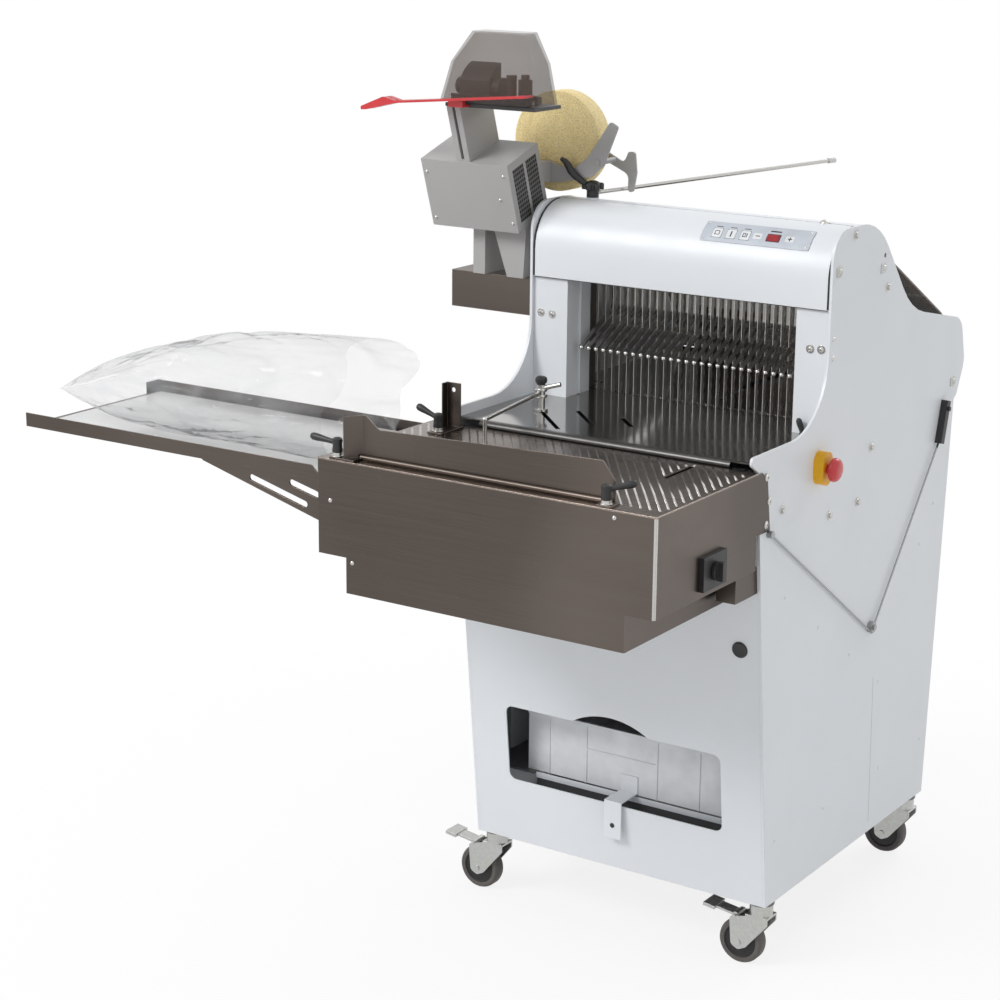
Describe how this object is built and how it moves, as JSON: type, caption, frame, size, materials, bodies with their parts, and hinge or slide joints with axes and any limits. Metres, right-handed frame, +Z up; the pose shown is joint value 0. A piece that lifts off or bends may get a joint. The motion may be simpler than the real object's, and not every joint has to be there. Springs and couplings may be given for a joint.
{
  "type": "bread slicer machine",
  "caption": "Floor-standing bread slicer on casters: white cabinet, hooded throat with two blade frames, packing table with bag tray, and a bag-neck tape closer on a side shelf.",
  "frame": {"origin": "floor point under the middle of the cabinet base", "axes": "+Z up, +X to the right seen from the front, the front toward -Y"},
  "size_m": [1.33, 1.1112, 1.5305],
  "materials": {
    "white_paint": "satin white paint",
    "grey_paint": "mid grey paint",
    "dark_paint": "dark primer",
    "stainless": "brushed stainless sheet",
    "bright_steel": "ground steel",
    "zinc": "zinc plated pressing",
    "motor_alloy": "cast alloy body",
    "belt_rubber": "matt black",
    "black_plastic": "matt black moulding",
    "bin_plastic": "pale grey moulding",
    "key_plastic": "printed membrane",
    "smoke_clear": "smoke clear sheet",
    "film": "clear thin film",
    "red_plastic": "red moulding",
    "yellow_plastic": "yellow moulding",
    "reel_paper": "wound paper tape",
    "wheel_rubber": "grey brown tread"
  },
  "bodies": {
    "cabinet": {"base_frame": "dark_paint", "left_side_panel": "white_paint", "right_side_panel": "white_paint", "front_panel": "white_paint", "rear_panel": "white_paint", "fascia_posts": "white_paint", "top_cover": "white_paint", "outfeed_table": "stainless", "infeed_table": "stainless", "frame_guides": "bright_steel", "bearing_blocks": "dark_paint", "drive_motor": "motor_alloy", "drive_belt": "belt_rubber", "estop_base": "yellow_plastic", "side_cable": "bright_steel", "packing_box": "stainless", "slide_plate": "stainless", "blower_housing": "dark_paint", "switch_plate": "black_plastic", "bag_tray": "stainless", "clip_shelf": "stainless", "clip_housing": "grey_paint", "clip_head": "dark_paint", "neck_guide": "red_plastic", "reel_arms": "grey_paint", "open_bag": "film"},
    "hood": {"hood": "white_paint", "control_panel": "key_plastic"},
    "front_blades": {"blade_frame_front": "bright_steel", "blades_front": "bright_steel"},
    "rear_blades": {"blade_frame_rear": "bright_steel", "blades_rear": "bright_steel"},
    "eccentric": {"eccentric_shaft": "bright_steel"},
    "motor_rotor": {"motor_pulley": "bright_steel"},
    "comb": {"hold_down_comb": "bright_steel"},
    "pusher": {"loaf_pusher": "stainless"},
    "infeed_cover": {"rear_cover": "smoke_clear"},
    "bin": {"crumb_bin": "bin_plastic"},
    "stop_head": {"estop_button": "red_plastic"},
    "switch": {"switch_knob": "black_plastic"},
    "fan": {"blower_fan": "black_plastic"},
    "guide": {"front_guide": "stainless"},
    "left_lever": {"guide_lever_left": "black_plastic"},
    "right_lever": {"guide_lever_right": "black_plastic"},
    "post": {"bag_post": "stainless"},
    "post_clamp": {"post_lever": "black_plastic"},
    "rod_stop": {"rod_guide": "bright_steel"},
    "head_cover": {"clip_cover": "smoke_clear"},
    "reel": {"tape_reel": "reel_paper"},
    "stay": {"stay_rod": "black_plastic"},
    "fork_fl": {"caster_fork_fl": "zinc"},
    "wheel_fl": {"caster_wheel_fl": "wheel_rubber"},
    "fork_fr": {"caster_fork_fr": "zinc"},
    "wheel_fr": {"caster_wheel_fr": "wheel_rubber"},
    "fork_rl": {"caster_fork_rl": "zinc"},
    "wheel_rl": {"caster_wheel_rl": "wheel_rubber"},
    "fork_rr": {"caster_fork_rr": "zinc"},
    "wheel_rr": {"caster_wheel_rr": "wheel_rubber"},
    "pedal_l": {"brake_pedal_l": "dark_paint"},
    "pedal_r": {"brake_pedal_r": "dark_paint"}
  },
  "joints": [
    {"name": "hood_hinge", "type": "hinge", "parent": "cabinet", "child": "hood", "pos_m": [0, -0.084, 1.229], "axis": [-1, 0, 0], "range_deg": [0, 75]},
    {"name": "front_blade_stroke", "type": "slide", "parent": "cabinet", "child": "front_blades", "axis": [0, 0, 1], "range_m": [-0.01, 0.01]},
    {"name": "rear_blade_stroke", "type": "slide", "parent": "cabinet", "child": "rear_blades", "axis": [0, 0, 1], "range_m": [-0.01, 0.01]},
    {"name": "eccentric_spin", "type": "hinge", "parent": "cabinet", "child": "eccentric", "pos_m": [0, -0.068, 0.64], "axis": [1, 0, 0], "continuous": true},
    {"name": "motor_spin", "type": "hinge", "parent": "cabinet", "child": "motor_rotor", "pos_m": [0, 0.215, 0.235], "axis": [1, 0, 0], "continuous": true},
    {"name": "comb_lift", "type": "hinge", "parent": "cabinet", "child": "comb", "pos_m": [0, -0.028, 1.135], "axis": [-1, 0, 0], "range_deg": [0, 15]},
    {"name": "pusher_slide", "type": "slide", "parent": "cabinet", "child": "pusher", "axis": [0, -1, 0], "range_m": [0, 0.25]},
    {"name": "infeed_cover_hinge", "type": "hinge", "parent": "cabinet", "child": "infeed_cover", "pos_m": [0, 0.03, 1.176], "axis": [1, 0, 0], "range_deg": [0, 40]},
    {"name": "bin_slide", "type": "slide", "parent": "cabinet", "child": "bin", "axis": [0, -1, 0], "range_m": [0, 0.38]},
    {"name": "stop_push", "type": "slide", "parent": "cabinet", "child": "stop_head", "axis": [-1, 0, 0], "range_m": [0, 0.006], "stiffness_N_per_m": 1500},
    {"name": "switch_turn", "type": "hinge", "parent": "cabinet", "child": "switch", "pos_m": [0.292, -0.548, 0.77], "axis": [1, 0, 0], "range_deg": [0, 90]},
    {"name": "fan_spin", "type": "hinge", "parent": "cabinet", "child": "fan", "pos_m": [-0.06, -0.56, 0.82], "axis": [0, 1, 0], "continuous": true},
    {"name": "guide_slide", "type": "slide", "parent": "cabinet", "child": "guide", "axis": [0, 1, 0], "range_m": [0, 0.06]},
    {"name": "left_lever_turn", "type": "hinge", "parent": "guide", "child": "left_lever", "pos_m": [-0.298, -0.707, 0.9], "axis": [0, 0, 1], "range_deg": [0, 80]},
    {"name": "right_lever_turn", "type": "hinge", "parent": "guide", "child": "right_lever", "pos_m": [0.2, -0.707, 0.9], "axis": [0, 0, 1], "range_deg": [-80, 0]},
    {"name": "post_slide", "type": "slide", "parent": "cabinet", "child": "post", "axis": [0, -1, 0], "range_m": [0, 0.05]},
    {"name": "post_lever_turn", "type": "hinge", "parent": "post", "child": "post_clamp", "pos_m": [-0.267, -0.475, 0.9], "axis": [0, 0, 1], "range_deg": [0, 80]},
    {"name": "rod_stop_slide", "type": "slide", "parent": "cabinet", "child": "rod_stop", "axis": [0.7071, -0.7071, 0], "range_m": [0, 0.09]},
    {"name": "head_cover_hinge", "type": "hinge", "parent": "cabinet", "child": "head_cover", "pos_m": [-0.316, -0.192, 1.417], "axis": [-1, 0, 0], "range_deg": [0, 70]},
    {"name": "reel_spin", "type": "hinge", "parent": "cabinet", "child": "reel", "pos_m": [-0.307, -0.04, 1.332], "axis": [0, 1, 0], "continuous": true},
    {"name": "stay_swing", "type": "hinge", "parent": "cabinet", "child": "stay", "pos_m": [-0.229, -0.062, 1.24], "axis": [0, 0, 1], "range_deg": [0, 35]},
    {"name": "swivel_fl", "type": "hinge", "parent": "cabinet", "child": "fork_fl", "pos_m": [-0.268, -0.285, 0.1], "axis": [0, 0, 1], "continuous": true},
    {"name": "roll_fl", "type": "hinge", "parent": "fork_fl", "child": "wheel_fl", "pos_m": [-0.301, -0.285, 0.04], "axis": [0, 1, 0], "continuous": true},
    {"name": "swivel_fr", "type": "hinge", "parent": "cabinet", "child": "fork_fr", "pos_m": [0.268, -0.285, 0.1], "axis": [0, 0, 1], "continuous": true},
    {"name": "roll_fr", "type": "hinge", "parent": "fork_fr", "child": "wheel_fr", "pos_m": [0.235, -0.285, 0.04], "axis": [0, 1, 0], "continuous": true},
    {"name": "swivel_rl", "type": "hinge", "parent": "cabinet", "child": "fork_rl", "pos_m": [-0.268, 0.285, 0.1], "axis": [0, 0, 1], "continuous": true},
    {"name": "roll_rl", "type": "hinge", "parent": "fork_rl", "child": "wheel_rl", "pos_m": [-0.301, 0.285, 0.04], "axis": [0, 1, 0], "continuous": true},
    {"name": "swivel_rr", "type": "hinge", "parent": "cabinet", "child": "fork_rr", "pos_m": [0.268, 0.285, 0.1], "axis": [0, 0, 1], "continuous": true},
    {"name": "roll_rr", "type": "hinge", "parent": "fork_rr", "child": "wheel_rr", "pos_m": [0.235, 0.285, 0.04], "axis": [0, 1, 0], "continuous": true},
    {"name": "pedal_turn_l", "type": "hinge", "parent": "fork_fl", "child": "pedal_l", "pos_m": [-0.31, -0.285, 0.086], "axis": [0, 1, 0], "range_deg": [-14, 0]},
    {"name": "pedal_turn_r", "type": "hinge", "parent": "fork_fr", "child": "pedal_r", "pos_m": [0.226, -0.285, 0.086], "axis": [0, 1, 0], "range_deg": [-14, 0]}
  ],
  "couplings": [
    {"joint": "rear_blade_stroke", "follows": "front_blade_stroke", "ratio": -1},
    {"joint": "motor_spin", "follows": "eccentric_spin", "ratio": 2.041}
  ]
}
